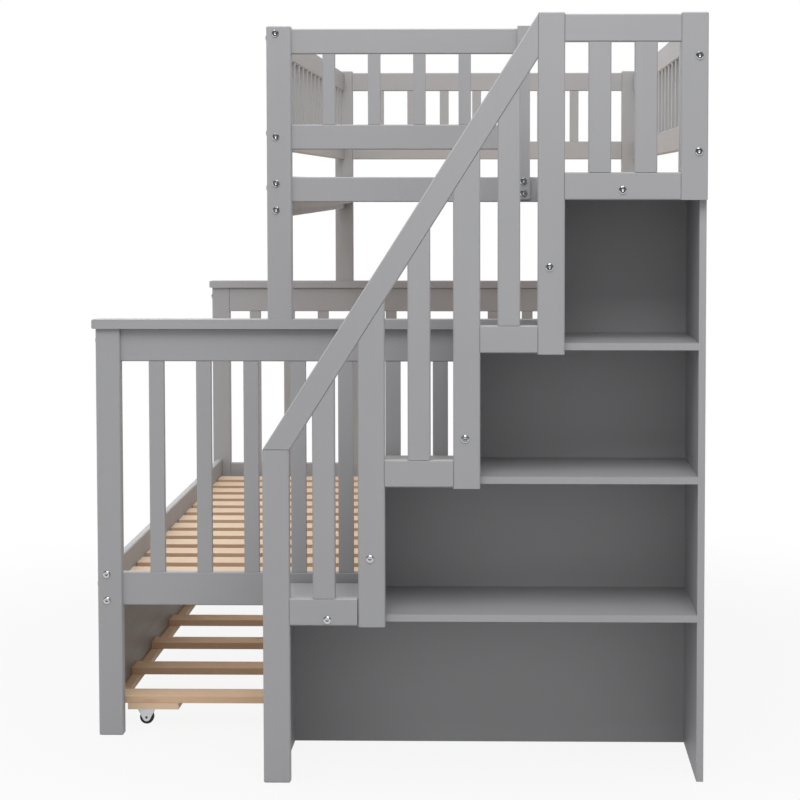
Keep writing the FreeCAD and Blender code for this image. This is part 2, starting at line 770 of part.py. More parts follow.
def main():
    """Build every sub-part, drill it, check it and write its file."""
    ledgers = make_lower_bed() + make_upper_bunk()
    group("slat_ledgers", ledgers)
    make_stacking_pins()
    make_stair_carcass()
    make_platform_side(make_stair_guard())
    make_trundle()
    group("frame_bolts", bolts)
    group("barrel_nuts", nuts)
    finished = {}
    for label, item in pieces.items():
        item = drilled(item, bolt_holes.get(label))
        item = drilled(item, nut_holes.get(label))
        item.Label = label
        finished[label] = item
    doc.recompute()
    check_document()
    for label, item in finished.items():
        shape = item.Shape
        if shape.isNull() or not shape.isValid() or item.Label != label:
            raise RuntimeError(f"bad sub-part: {label}")
    os.makedirs("parts", exist_ok=True)
    for label, item in finished.items():
        item.Shape.exportStep(f"parts/{label}.step")
    print(len(finished), "sub-parts,", sum(len(item.Shape.Solids) for item in finished.values()),
          "solids")


main()
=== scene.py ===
# %% [markdown]
# A bunk bed with a bookcase stair, dressed for a studio picture.
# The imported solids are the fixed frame: every post, rail and panel is already where it belongs.
# This lesson paints those solids, swaps the repeated boards for softer ones that Geometry Nodes
# lay out, gives the bolts and casters their detail, and then lights and photographs the bed.

# %% Load the frame
import math

import bmesh
import bpy
from mathutils import Euler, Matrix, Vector


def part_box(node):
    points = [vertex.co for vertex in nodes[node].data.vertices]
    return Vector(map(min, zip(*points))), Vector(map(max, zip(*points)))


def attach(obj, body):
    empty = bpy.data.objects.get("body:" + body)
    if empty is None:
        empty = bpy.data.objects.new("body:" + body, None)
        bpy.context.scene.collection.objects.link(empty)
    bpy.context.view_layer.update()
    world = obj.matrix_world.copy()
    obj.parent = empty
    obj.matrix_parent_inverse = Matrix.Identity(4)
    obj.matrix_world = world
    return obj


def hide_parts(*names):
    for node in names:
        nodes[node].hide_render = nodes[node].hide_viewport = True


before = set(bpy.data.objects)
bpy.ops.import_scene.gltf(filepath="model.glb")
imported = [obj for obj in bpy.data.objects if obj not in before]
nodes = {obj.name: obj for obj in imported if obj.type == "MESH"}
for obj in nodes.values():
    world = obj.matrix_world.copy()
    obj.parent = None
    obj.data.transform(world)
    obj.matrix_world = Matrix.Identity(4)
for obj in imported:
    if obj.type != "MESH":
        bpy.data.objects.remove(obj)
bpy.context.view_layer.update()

# %% [markdown]
# Every finish and every row of boards below is a node tree. Writing trees link by link is long, so
# one small class wraps a socket and lets ordinary arithmetic add Math nodes, and one method adds
# any other node from its type, its settings and its inputs. A few short names stand for the nodes
# that nearly every finish needs.

# %% Node-tree helpers
class Wire:
    """An output socket that can be used in a Python expression."""

    def __init__(self, graph, socket):
        self.graph = graph
        self.socket = socket

    def _math(self, operation, first, second):
        return self.graph.node("ShaderNodeMath", {"operation": operation}, {0: first, 1: second})

    def __add__(self, other):
        return self._math("ADD", self, other)

    def __sub__(self, other):
        return self._math("SUBTRACT", self, other)

    def __rsub__(self, other):
        return self._math("SUBTRACT", other, self)

    def __mul__(self, other):
        return self._math("MULTIPLY", self, other)

    __radd__ = __add__
    __rmul__ = __mul__


class Graph:
    """A node tree with one way to add a node."""

    def __init__(self, tree):
        self.tree = tree

    def node(self, kind, settings=None, inputs=None, out=0):
        """Add a node and return one of its outputs."""
        made = self.tree.nodes.new(kind)
        for name, value in (settings or {}).items():
            setattr(made, name, value)
        for key, value in (inputs or {}).items():
            if isinstance(value, Wire):
                self.tree.links.new(value.socket, made.inputs[key])
            else:
                made.inputs[key].default_value = value
        return Wire(self, made.outputs[out]) if made.outputs else None

    def place(self):
        """Where a point is, in the object's own coordinates."""
        return self.node("ShaderNodeTexCoord", out="Object")

    def stored(self, name):
        """A number that is stored on the piece."""
        return self.node("ShaderNodeAttribute", {"attribute_name": name}, out="Fac")

    def mix(self, factor, first, second):
        """A colour between two colours."""
        return self.node("ShaderNodeMix", {"data_type": "RGBA"}, {0: factor, 6: first, 7: second},
                         out=2)

    def stretch(self, place, scale):
        """A place with each coordinate scaled, which squeezes or draws out a pattern."""
        return self.node("ShaderNodeVectorMath", {"operation": "MULTIPLY"}, {0: place, 1: scale})

    def noise(self, place, scale, detail, **more):
        """A cloudy pattern."""
        return self.node("ShaderNodeTexNoise", None,
                         {"Vector": place, "Scale": scale, "Detail": detail, **more})

    def fade(self, value, start, end, first, last):
        """A smooth change from one number to another while a value goes from start to end."""
        return self.node("ShaderNodeMapRange", {"interpolation_type": "SMOOTHSTEP"},
                         {0: value, 1: start, 2: end, 3: first, 4: last})

    def bump(self, height, strength, distance):
        """A surface normal that a height tilts."""
        return self.node("ShaderNodeBump", None,
                         {"Strength": strength, "Distance": distance, "Height": height})


print("node-tree helpers ready")

# %% [markdown]
# A picture gives colours as a screen shows them, but a shader works with amounts of light. One
# function converts them. Two more open and close a material, because all of them end in the same
# kind of surface.

# %% Colours and materials
VIEWPORT_GREY = (0.5, 0.5, 0.5, 1.0)


def srgb(red, green, blue):
    """A display colour, 0 to 255, as the linear colour that a shader takes."""
    def linear(value):
        value /= 255
        return value / 12.92 if value <= 0.04045 else ((value + 0.055) / 1.055) ** 2.4
    return (linear(red), linear(green), linear(blue), 1.0)


def new_material(name):
    """An empty node material and its graph."""
    material = bpy.data.materials.new(name)
    material.use_nodes = True
    material.node_tree.nodes.clear()
    return material, Graph(material.node_tree)


def close_material(material, graph, inputs):
    """End a material in a Principled surface."""
    surface = graph.node("ShaderNodeBsdfPrincipled", None, inputs)
    graph.node("ShaderNodeOutputMaterial", None, {"Surface": surface})
    material.diffuse_color = VIEWPORT_GREY
    return material


print("middle grey as light:", round(srgb(128, 128, 128)[0], 3))

# %% [markdown]
# The bed is solid wood under satin grey paint. Paint hides the colour of the wood but not all of
# its grain, and a roller leaves a fine skin. So the colour is nearly even, with slow clouds of
# tone, and the bump has two parts: long faint fibres along the board and a fine stipple.
# The fibres run along the board, so there is one paint for each direction. On the inner face of
# the trundle's front panel the colour turns darker and browner in streaks: painted shade and a
# painted reflection of the pine slats.

# %% Grey paint
GREY_LIGHT = srgb(171, 171, 173)
GREY_DARK = srgb(160, 160, 162)
# The two inner-face colours are painted shade and a painted reflection of the pine slats.
INNER_SHADE_GREY = srgb(150, 149, 146)
SLAT_REFLECTION_BROWN = srgb(122, 111, 98)
FIBRE_STRETCH = {"x": (2.0, 90.0, 90.0), "y": (90.0, 2.0, 90.0), "z": (90.0, 90.0, 2.0)}
STREAK_STRETCH = (1.0, 1.2, 24.0)
CLOUD_SCALE = 2.3
STIPPLE_SCALE = 700.0


def grey_paint(direction, inner_shade_from=None):
    """Satin grey paint over wood whose fibres run along x, y or z; painted shade and slat
    reflection beyond a level of x.
    """
    has_inner_shade = inner_shade_from is not None
    material, graph = new_material(f"grey_paint_{direction}" + ("_thin" if has_inner_shade else ""))
    place = graph.place()
    fibres = graph.noise(graph.stretch(place, FIBRE_STRETCH[direction]), 1.0, 4.0, Roughness=0.6)
    clouds = graph.noise(place, CLOUD_SCALE, 2.0)
    stipple = graph.noise(place, STIPPLE_SCALE, 1.0)
    colour = graph.mix(clouds * 0.8 + fibres * 0.25 - 0.02, GREY_DARK, GREY_LIGHT)
    if has_inner_shade:
        streaks = graph.noise(graph.stretch(place, STREAK_STRETCH), 1.0, 3.0)
        inner_shade = graph.mix(streaks, INNER_SHADE_GREY, SLAT_REFLECTION_BROWN)
        across = graph.node("ShaderNodeSeparateXYZ", None, {0: place}, out="X")
        inner = graph.node("ShaderNodeMath", {"operation": "GREATER_THAN"},
                           {0: across, 1: inner_shade_from})
        # Beyond the level of x the colour is painted shade and a painted reflection of the slats,
        # in streaks.
        colour = graph.mix(inner, colour, inner_shade)
    skin = fibres * 0.7 + stipple * 0.3
    return close_material(material, graph, {
        "Base Color": colour, "Roughness": 0.46 + fibres * 0.14,
        "Normal": graph.bump(skin, strength=0.12, distance=0.0006), "Specular IOR Level": 0.35})


paint = {direction: grey_paint(direction) for direction in "xyz"}
print("paints:", [material.name for material in paint.values()])

# %% [markdown]
# The slats are bare planed pine. Growth rings cut along the board make long bands that wander,
# with fine fibres between them and a knot here and there. Every slat is a different piece of wood,
# so a number stored on each board moves the pattern and shifts its tone. Another number marks the
# narrow sides, which are painted darker and browner: painted shade on the faces that the light
# from above misses.

# %% Bare pine
BOARD_SHIFT = (17.0, 5.3, 3.1)
RING_STRETCH = (1.1, 26.0, 26.0)
PINE_FIBRE_STRETCH = (7.0, 420.0, 420.0)
KNOT_STRETCH = (2.6, 9.0, 9.0)
KNOT_CORE, KNOT_RIM, KNOT_DEPTH = 0.03, 0.11, 0.75
BOARD_TONE = 0.22
# How far the narrow sides go towards their painted shade.
SIDE_SHADE_SHARE = 0.5


def bare_pine(name, pale, ring, knot, side_shade):
    """Planed softwood with its grain along x, different on every board."""
    material, graph = new_material(name)
    board = graph.stored("board")
    moved = graph.node("ShaderNodeCombineXYZ", None,
                       {axis: board * shift for axis, shift in enumerate(BOARD_SHIFT)})
    local = graph.node("ShaderNodeVectorMath", {"operation": "ADD"}, {0: graph.place(), 1: moved})
    rings = graph.node("ShaderNodeTexWave", {"bands_direction": "Y", "wave_profile": "SAW"},
                       {"Vector": graph.stretch(local, RING_STRETCH), "Scale": 1.3,
                        "Distortion": 5.5, "Detail": 2.0, "Detail Scale": 0.7}, out="Fac")
    fibres = graph.noise(graph.stretch(local, PINE_FIBRE_STRETCH), 1.0, 3.0)
    knots = graph.node("ShaderNodeTexVoronoi", None,
                       {"Vector": graph.stretch(local, KNOT_STRETCH), "Scale": 1.0})
    knot_mask = graph.fade(knots, KNOT_CORE, KNOT_RIM, KNOT_DEPTH, 0.0)
    banded = graph.mix(rings * 0.55 + fibres * 0.3, pale, ring)
    spotted = graph.mix(knot_mask, banded, knot)
    toned = graph.mix(board * BOARD_TONE, spotted, ring)
    # The narrow sides are mixed towards the darker brown: painted shade.
    colour = graph.mix(graph.stored("edge") * SIDE_SHADE_SHARE, toned, side_shade)
    relief = fibres + rings * 0.4
    return close_material(material, graph, {
        "Base Color": colour, "Roughness": 0.58 + fibres * 0.16,
        "Normal": graph.bump(relief, strength=0.15, distance=0.0005), "Specular IOR Level": 0.3})


slat_pine = bare_pine("slat_pine", pale=srgb(236, 214, 190), ring=srgb(213, 183, 153),
                      knot=srgb(152, 113, 82), side_shade=srgb(206, 160, 120))
# The trundle's pine is paler: painted light that makes up for the shade under the bed.
trundle_pine = bare_pine("trundle_pine", pale=srgb(246, 219, 190), ring=srgb(230, 195, 161),
                         knot=srgb(160, 120, 88), side_shade=srgb(216, 174, 137))
print("woods:", slat_pine.name, trundle_pine.name)

# %% [markdown]
# Bolts, nuts, pins and caster forks are zinc-plated steel. Plating is bright but never a mirror:
# its roughness changes in patches. A number stored on the hardware darkens the plating as painted
# shade, at the brims of the bolts' sockets and on the rivets' tops. The wheels are black rubber
# with a fine matt skin.

# %% Steel and rubber
PLATE_GREY = srgb(176, 178, 182)
PLATE_BRIGHT = srgb(214, 215, 218)
# The dark plate colour is painted shade.
SHADED_PLATE = srgb(48, 49, 53)
RUBBER_BLACK = srgb(22, 22, 23)
RUBBER_DUSTY = srgb(46, 46, 48)


def zinc_plate():
    """Bright plated steel with a patchy polish."""
    material, graph = new_material("zinc_plate")
    patches = graph.noise(graph.place(), 260.0, 3.0)
    bright = graph.mix(patches, PLATE_GREY, PLATE_BRIGHT)
    # The stored number mixes in the dark plate colour: painted shade.
    return close_material(material, graph, {
        "Base Color": graph.mix(graph.stored("dulled"), bright, SHADED_PLATE), "Metallic": 1.0,
        "Roughness": 0.13 + patches * 0.14})


def black_rubber():
    """Matt black rubber with a fine moulded skin."""
    material, graph = new_material("black_rubber")
    place = graph.place()
    skin = graph.noise(place, 900.0, 2.0)
    clouds = graph.noise(place, 60.0, 2.0)
    return close_material(material, graph, {
        "Base Color": graph.mix(clouds, RUBBER_BLACK, RUBBER_DUSTY),
        "Roughness": 0.5 + skin * 0.2,
        "Normal": graph.bump(skin, strength=0.2, distance=0.0002)})


steel = zinc_plate()
rubber = black_rubber()
print("hardware:", steel.name, rubber.name)

# %% [markdown]
# The solids keep their shape and only get a finish. The direction of the fibres follows the long
# side of the piece, which its box gives. Where a solid holds several boards, or lies at a slope,
# the box misleads, and the direction is written down.

# %% Finish the solids
STEEL_NODES = {"frame_bolts", "barrel_nuts", "stacking_pins", "caster_forks", "caster_axles"}
TRUNDLE_WOOD = {"trundle_side_rails", "caster_blocks", "trundle_slats"}
SLAT_NODES = {"lower_slats", "upper_slats"}
RUN_ALONG = {"handrail": "z", "stair_posts": "z", "stair_balusters": "z", "step_rails": "x",
             "platform_guard_rails": "x", "stair_back_panels": "x", "stair_risers": "y",
             "lower_balusters_near": "z", "lower_balusters_far": "z", "upper_balusters_near": "z",
             "upper_balusters_far": "z", "side_guard_spindles_left": "z",
             "side_guard_spindles_right": "z", "slat_ledgers": "y"}
FACE_DEPTH = 0.0005


def long_side(size):
    """The number of the axis along which a box is longest."""
    return max(range(3), key=lambda axis: size[axis])


def finish_of(node):
    """The finish that a solid has on the real bed."""
    low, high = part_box(node)
    if node in STEEL_NODES:
        return steel
    if node in TRUNDLE_WOOD:
        return trundle_pine
    if node in SLAT_NODES:
        return slat_pine
    if node.startswith("caster_wheel"):
        return rubber
    if node == "trundle_front_panel":
        # Its inner face gets painted shade and a painted reflection of the slats.
        return grey_paint("y", inner_shade_from=high.x - FACE_DEPTH)
    return paint[RUN_ALONG.get(node) or "xyz"[long_side(high - low)]]


for node, solid in nodes.items():
    solid.data.materials.clear()
    solid.data.materials.append(finish_of(node))
print("finished", len(nodes), "solids")

# %% [markdown]
# The repeated boards, that is the balusters, spindles and slats, are sharp in the solids. On the
# real bed their long edges are eased by a router. A bevel on each would work, but the rows follow
# one rule, so one Geometry Nodes tree makes them. Its sizes are read from the solids, so nothing is
# typed twice.

# %% Read the rows from the solids
SAME_POINT = 1e-6


def islands(node):
    """The points of each separate solid in a node."""
    mesh = bmesh.new()
    mesh.from_mesh(nodes[node].data)
    bmesh.ops.remove_doubles(mesh, verts=mesh.verts, dist=SAME_POINT)
    mesh.verts.ensure_lookup_table()
    seen = set()
    groups = []
    for start in mesh.verts:
        if start.index in seen:
            continue
        seen.add(start.index)
        stack, points = [start], []
        while stack:
            vert = stack.pop()
            points.append(vert.co.copy())
            for edge in vert.link_edges:
                other = edge.other_vert(vert)
                if other.index not in seen:
                    seen.add(other.index)
                    stack.append(other)
        groups.append(points)
    mesh.free()
    return groups


def box_of(points):
    """Lowest and highest corner of some points."""
    low = Vector(min(point[axis] for point in points) for axis in range(3))
    high = Vector(max(point[axis] for point in points) for axis in range(3))
    return low, high


def row_of(node):
    """The size of one board of a row, the middle of the first board, the step and the count."""
    boxes = sorted((box_of(points) for points in islands(node)), key=lambda box: tuple(box[0]))
    middles = [(low + high) / 2 for low, high in boxes]
    size = boxes[0][1] - boxes[0][0]
    return size, middles[0], (middles[-1] - middles[0]) / (len(boxes) - 1), len(boxes)


for node in ("lower_slats", "lower_balusters_near"):
    size, _, _, count = row_of(node)
    print(node, count, "boards", [round(value * 1000, 1) for value in size])

# %% [markdown]
# Each tree below opens with named inputs for its sizes, and ends by making its copies real and
# giving them their finish, because an export drops mere instances. The result is then kept as a
# plain mesh at the origin, and it takes the place of a solid on the body that carries it.

# %% Geometry-tree helpers
def open_tree(name, inputs, output):
    """An empty tree: its graph, a wire for each input, and the identifiers that set them."""
    tree = bpy.data.node_groups.new(name, "GeometryNodeTree")
    graph = Graph(tree)
    keys = {}
    for title, kind in inputs.items():
        socket = tree.interface.new_socket(name=title, in_out="INPUT", socket_type=kind)
        keys[title] = socket.identifier
    tree.interface.new_socket(name=output, in_out="OUTPUT", socket_type="NodeSocketGeometry")
    entry = tree.nodes.new("NodeGroupInput")
    return graph, {title: Wire(graph, entry.outputs[title]) for title in inputs}, keys


def joined(graph, shapes):
    """Several shapes as one."""
    join = graph.tree.nodes.new("GeometryNodeJoinGeometry")
    for shape in shapes:
        graph.tree.links.new(shape.socket, join.inputs[0])
    return Wire(graph, join.outputs[0])


def close_tree(graph, shape, finish):
    """End a tree: copies made real, then their finish."""
    real = graph.node("GeometryNodeRealizeInstances", None, {"Geometry": shape})
    done = graph.node("GeometryNodeSetMaterial", None, {"Geometry": real, "Material": finish})
    graph.node("NodeGroupOutput", None, {0: done})


def placed(name, data):
    """A new object in the scene, at the origin."""
    item = bpy.data.objects.new(name, data)
    bpy.context.scene.collection.objects.link(item)
    return item


def made_plain(name, tree, keys, settings, base=None):
    """Run a tree once and keep its result as an ordinary mesh object at the origin."""
    worker = placed(name + "_worker", base or bpy.data.meshes.new(name + "_base"))
    modifier = worker.modifiers.new("rows", "NODES")
    modifier.node_group = tree
    for title, value in settings.items():
        modifier[keys[title]] = value
    evaluated = worker.evaluated_get(bpy.context.evaluated_depsgraph_get())
    plain = bpy.data.meshes.new_from_object(evaluated)
    plain.name = name
    bpy.data.objects.remove(worker)
    return placed(name, plain)


def stand_for(piece, node, body):
    """Let a piece replace a solid, on the body that carries it."""
    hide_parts(node)
    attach(piece, body)


print("geometry-tree helpers ready")

# %% [markdown]
# A board is a rounded section that is run along its length. The tree draws a rectangle, rounds its
# corners, fills it and pulls it up, then sets copies along a line. It stores two numbers: a random
# one for each board, and one that marks the sides that face across the section.

# %% The tree that lays out a row
NEAR = 1e-5
CORNER_STEPS = 3
ROW_INPUTS = {"Width": "NodeSocketFloat", "Thickness": "NodeSocketFloat",
              "Length": "NodeSocketFloat", "Edge Radius": "NodeSocketFloat",
              "Turn": "NodeSocketVector", "First": "NodeSocketVector", "Step": "NodeSocketVector",
              "Count": "NodeSocketInt", "Seed": "NodeSocketInt", "Finish": "NodeSocketMaterial"}


def board_shape(graph, given):
    """One board with eased edges, upright, its middle at the origin."""
    section = graph.node("GeometryNodeCurvePrimitiveQuadrilateral", None,
                         {"Width": given["Width"], "Height": given["Thickness"]})
    section = graph.node("GeometryNodeFilletCurve", {"mode": "POLY"},
                         {"Curve": section, "Count": CORNER_STEPS, "Radius": given["Edge Radius"]})
    face = graph.node("GeometryNodeFillCurve", {"mode": "NGONS"}, {"Curve": section})
    lift = graph.node("ShaderNodeCombineXYZ", None, {"Z": given["Length"]})
    raised = graph.node("GeometryNodeExtrudeMesh", None,
                        {"Mesh": face, "Offset": lift, "Individual": False})
    under = graph.node("GeometryNodeFlipFaces", None, {"Mesh": face})
    closed = graph.node("GeometryNodeMergeByDistance", None,
                        {"Geometry": joined(graph, (raised, under)), "Distance": NEAR})
    normal = graph.node("GeometryNodeInputNormal")
    across = graph.node("ShaderNodeSeparateXYZ", None, {0: normal}, out="X")
    # This mark says where the pine's painted shade on the narrow sides goes.
    edged = graph.node("GeometryNodeStoreNamedAttribute", {"data_type": "FLOAT", "domain": "FACE"},
                       {"Geometry": closed, "Name": "edge", "Value": across * across})
    sink = graph.node("ShaderNodeCombineXYZ", None, {"Z": given["Length"] * -0.5})
    return graph.node("GeometryNodeTransform", None, {"Geometry": edged, "Translation": sink})


def board_row_tree():
    """Boards in an even row, each turned the same way."""
    graph, given, keys = open_tree("board_row", ROW_INPUTS, "Boards")
    places = graph.node("GeometryNodeMeshLine", None,
                        {"Count": given["Count"], "Start Location": given["First"],
                         "Offset": given["Step"]})
    turn = graph.node("FunctionNodeEulerToRotation", None, {0: given["Turn"]})
    row = graph.node("GeometryNodeInstanceOnPoints", None,
                     {"Points": places, "Instance": board_shape(graph, given), "Rotation": turn})
    chance = graph.node("FunctionNodeRandomValue", {"data_type": "FLOAT"},
                        {"Seed": given["Seed"]}, out=1)
    marked = graph.node("GeometryNodeStoreNamedAttribute",
                        {"data_type": "FLOAT", "domain": "INSTANCE"},
                        {"Geometry": row, "Name": "board", "Value": chance})
    close_tree(graph, marked, given["Finish"])
    return graph.tree, keys


row_tree, row_keys = board_row_tree()
print("row tree with inputs", list(row_keys))

# %% [markdown]
# Each row replaces its sharp solid and rides on the same body. Upright rows keep the section's
# width along the panel they fill; slats are turned so that their length lies across the bed. The
# printed slip shows how far a row is from the solid it replaces.

# %% Lay out the rows
EASED_EDGE = 0.0013
QUARTER = math.pi / 2
# The axes of the board's width, thickness and length, and how the upright board is turned.
IN_BED_END = ((0, 1, 2), (0, 0, 0))
IN_LONG_SIDE = ((1, 0, 2), (0, 0, QUARTER))
LYING = ((1, 2, 0), (QUARTER, 0, QUARTER))
# The finish, its slot in the record, and the body.
PAINTED = (paint["z"], "grey_wood", "bed_frame")
BED_PINE = (slat_pine, "bare_slat", "bed_frame")
TRUNDLE_PINE = (trundle_pine, "trundle_wood", "trundle")
ROWS = (("lower_balusters_near", IN_BED_END, PAINTED),
        ("lower_balusters_far", IN_BED_END, PAINTED),
        ("upper_balusters_near", IN_BED_END, PAINTED),
        ("upper_balusters_far", IN_BED_END, PAINTED),
        ("side_guard_spindles_left", IN_LONG_SIDE, PAINTED),
        ("side_guard_spindles_right", IN_LONG_SIDE, PAINTED),
        ("lower_slats", LYING, BED_PINE),
        ("upper_slats", LYING, BED_PINE),
        ("trundle_slats", LYING, TRUNDLE_PINE))


def lay_row(node, axes, turn, finish, seed):
    """A row of eased boards as large as the solid's, in its places."""
    size, first, step, count = row_of(node)
    width, thickness, length = (size[axis] for axis in axes)
    return made_plain(node + "_eased", row_tree, row_keys, {
        "Width": width, "Thickness": thickness, "Length": length, "Edge Radius": EASED_EDGE,
        "Turn": turn, "First": first, "Step": step, "Count": count, "Seed": seed,
        "Finish": finish})


for seed, (node, (axes, turn), (finish, slot, body)) in enumerate(ROWS):
    row = lay_row(node, axes, turn, finish, seed)
    corners = zip(box_of([vert.co for vert in row.data.vertices]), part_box(node))
    slip = max((made - goal).length for made, goal in corners)
    stand_for(row, node, body)
    print(row.name, "off by", round(slip * 1000, 3), "mm")

# %% [markdown]
# Three more solids get a softer copy. The caps on the bed ends are rounded at their ends only, so
# the chamfers along their sides are squared first. The handrail's foot is eased where it stands on
# the newel, and the groove that leaves draws a fine dark line across the joint.

# %% Caps and the handrail's foot
CHAMFER_REACH = 0.008
CAP_END_RADIUS = 0.005
CAP_END_STEPS = 4
FOOT_EASE = 0.002
FLAT_ANGLE = math.radians(1.0)


def solid_copy(node):
    """A solid as a mesh to edit, its flat sides free of inner edges."""
    mesh = bmesh.new()
    mesh.from_mesh(nodes[node].data)
    bmesh.ops.remove_doubles(mesh, verts=mesh.verts, dist=NEAR)
    bmesh.ops.dissolve_limit(mesh, angle_limit=FLAT_ANGLE, verts=mesh.verts, edges=mesh.edges)
    return mesh


def square_sides(mesh, low, high):
    """Push the chamfers along a board that lies along x out to sharp corners."""
    for vert in mesh.verts:
        near_side = [min(vert.co[axis] - low[axis], high[axis] - vert.co[axis]) < CHAMFER_REACH
                     for axis in (1, 2)]
        if all(near_side):
            for axis in (1, 2):
                nearer_low = vert.co[axis] - low[axis] < high[axis] - vert.co[axis]
                vert.co[axis] = low[axis] if nearer_low else high[axis]
    bmesh.ops.remove_doubles(mesh, verts=mesh.verts, dist=NEAR)


def round_edges(mesh, axis, levels, radius, steps):
    """Round the edges that lie in one of some planes across an axis."""
    edges = [edge for edge in mesh.edges for level in levels
             if all(abs(vert.co[axis] - level) < NEAR for vert in edge.verts)]
    bmesh.ops.bevel(mesh, geom=edges, offset=radius, offset_type="OFFSET", segments=steps,
                    profile=0.5, affect="EDGES", clamp_overlap=True)


def mesh_data(name, mesh):
    """An edited mesh, its faces turned outwards, as mesh data."""
    bmesh.ops.recalc_face_normals(mesh, faces=mesh.faces)
    data = bpy.data.meshes.new(name)
    mesh.to_mesh(data)
    mesh.free()
    return data


def place_copy(mesh, node, finish):
    """Put an edited copy in place of its solid."""
    data = mesh_data(node + "_soft", mesh)
    data.materials.append(finish)
    piece = placed(node + "_soft", data)
    stand_for(piece, node, "bed_frame")
    print(piece.name, len(data.polygons), "faces")


for node in ("lower_cap_near", "lower_cap_far"):
    low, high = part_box(node)
    cap = solid_copy(node)
    square_sides(cap, low, high)
    round_edges(cap, 0, (low.x, high.x), CAP_END_RADIUS, CAP_END_STEPS)
    place_copy(cap, node, paint["x"])
rail = solid_copy("handrail")
round_edges(rail, 2, (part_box("handrail")[0].z,), FOOT_EASE, steps=1)
place_copy(rail, "handrail", paint["z"])

# %% [markdown]
# The bolts are furniture connector bolts: a flat round head with a softened rim and a hexagon
# socket. The head is a stack of rings that are bridged, from its seat up over the rim and down
# into the socket. A number on its points darkens the socket's brim: painted shade in the socket.

# %% The bolt's head and shank
HEAD_RADIUS = 0.009
HEAD_HEIGHT = 0.0035
HEAD_PROFILE = ((1.0, 0.36), (0.97, 0.6), (0.74, 1.0), (0.73, 1.0), (0.52, 1.0))
HEAD_SIDES = 24
SOCKET_RADIUS = 0.0036
SOCKET_DEPTH = 0.0018
SOCKET_SIDE = math.tau / 6
DISH_DEPTH = 0.001
SHANK_RADIUS = 0.003
SHANK_SIDES = 12
BRIM_SHADE = 0.4


def around(count):
    """Even angles round a circle."""
    return [math.tau * n / count for n in range(count)]


def ring(mesh, radius, level, count):
    """A ring of points about z."""
    return [mesh.verts.new((radius * math.cos(angle), radius * math.sin(angle), level))
            for angle in around(count)]


def bridge(mesh, lower, upper):
    """Four-sided faces between two rings of the same count."""
    count = len(lower)
    for n in range(count):
        mesh.faces.new((lower[n], lower[(n + 1) % count], upper[(n + 1) % count], upper[n]))


def hexagon_reach(angle):
    """How far the socket's side is from its middle in a direction."""
    half = SOCKET_SIDE / 2
    return SOCKET_RADIUS * math.cos(half) / math.cos(angle % SOCKET_SIDE - half)


def bolt_head():
    """A head that sits on z = 0 with its socket open upwards."""
    mesh = bmesh.new()
    last = ring(mesh, HEAD_RADIUS, 0.0, HEAD_SIDES)
    mesh.faces.new(list(reversed(last)))
    for across, up in HEAD_PROFILE:
        level = ring(mesh, HEAD_RADIUS * across, HEAD_HEIGHT * up, HEAD_SIDES)
        bridge(mesh, last, level)
        last = level
    hexagon = [(hexagon_reach(angle) * math.cos(angle), hexagon_reach(angle) * math.sin(angle))
               for angle in around(HEAD_SIDES)]
    for level in (HEAD_HEIGHT, HEAD_HEIGHT - SOCKET_DEPTH):
        rim = [mesh.verts.new((x, y, level)) for x, y in hexagon]
        bridge(mesh, last, rim)
        last = rim
    dish = mesh.verts.new((0.0, 0.0, HEAD_HEIGHT - SOCKET_DEPTH - DISH_DEPTH))
    for n in range(HEAD_SIDES):
        mesh.faces.new((last[n], last[(n + 1) % HEAD_SIDES], dish))
    return mesh


def bolt_shank():
    """A plain shank one metre long below z = 0; each bolt scales it to its own length."""
    mesh = bmesh.new()
    top = ring(mesh, SHANK_RADIUS, 0.0, SHANK_SIDES)
    foot = ring(mesh, SHANK_RADIUS, -1.0, SHANK_SIDES)
    mesh.faces.new(top)
    mesh.faces.new(list(reversed(foot)))
    bridge(mesh, foot, top)
    return mesh


def pattern_object(name, mesh, shade):
    """A shape that a tree copies; a rule says how much painted shade each of its points gets."""
    data = mesh_data(name, mesh)
    marks = data.attributes.new("dulled", "FLOAT", "POINT").data
    for mark, vert in zip(marks, data.vertices):
        mark.value = shade(vert.co)
    return bpy.data.objects.new(name, data)


def brim_shade(point):
    """Painted shade at the brim of the socket, none elsewhere."""
    at_brim = point.z > HEAD_HEIGHT - NEAR and point.xy.length < SOCKET_RADIUS + NEAR
    return BRIM_SHADE if at_brim else 0.0


head_pattern = pattern_object("bolt_head_pattern", bolt_head(), brim_shade)
shank_pattern = pattern_object("bolt_shank_pattern", bolt_shank(), lambda point: 0.0)
print("bolt head:", len(head_pattern.data.polygons), "faces")

# %% [markdown]
# The solids only hold plain bolts, but they say where each one is. A bolt lies along the long side
# of its box, and its head is at the end where points stand away from that line.

# %% The bolts' places
HEAD_BEYOND = SHANK_RADIUS * 1.5


def off_line(point, middle, axis):
    """How far a point is from the line through the middle along an axis."""
    away = point - middle
    away[axis] = 0.0
    return away.length


def bolt_places(node):
    """For each bolt: the middle of its seat, the way its head faces and its shank's length."""
    places = []
    for points in islands(node):
        low, high = box_of(points)
        axis = long_side(high - low)
        middle = (low + high) / 2
        wide = [point[axis] for point in points if off_line(point, middle, axis) > HEAD_BEYOND]
        towards = 1 if sum(wide) / len(wide) > middle[axis] else -1
        seat = middle.copy()
        seat[axis] = (high[axis] - HEAD_HEIGHT) if towards > 0 else (low[axis] + HEAD_HEIGHT)
        facing = Vector((0, 0, 0))
        facing[axis] = towards
        places.append((seat, facing, (high - low)[axis] - HEAD_HEIGHT))
    return places


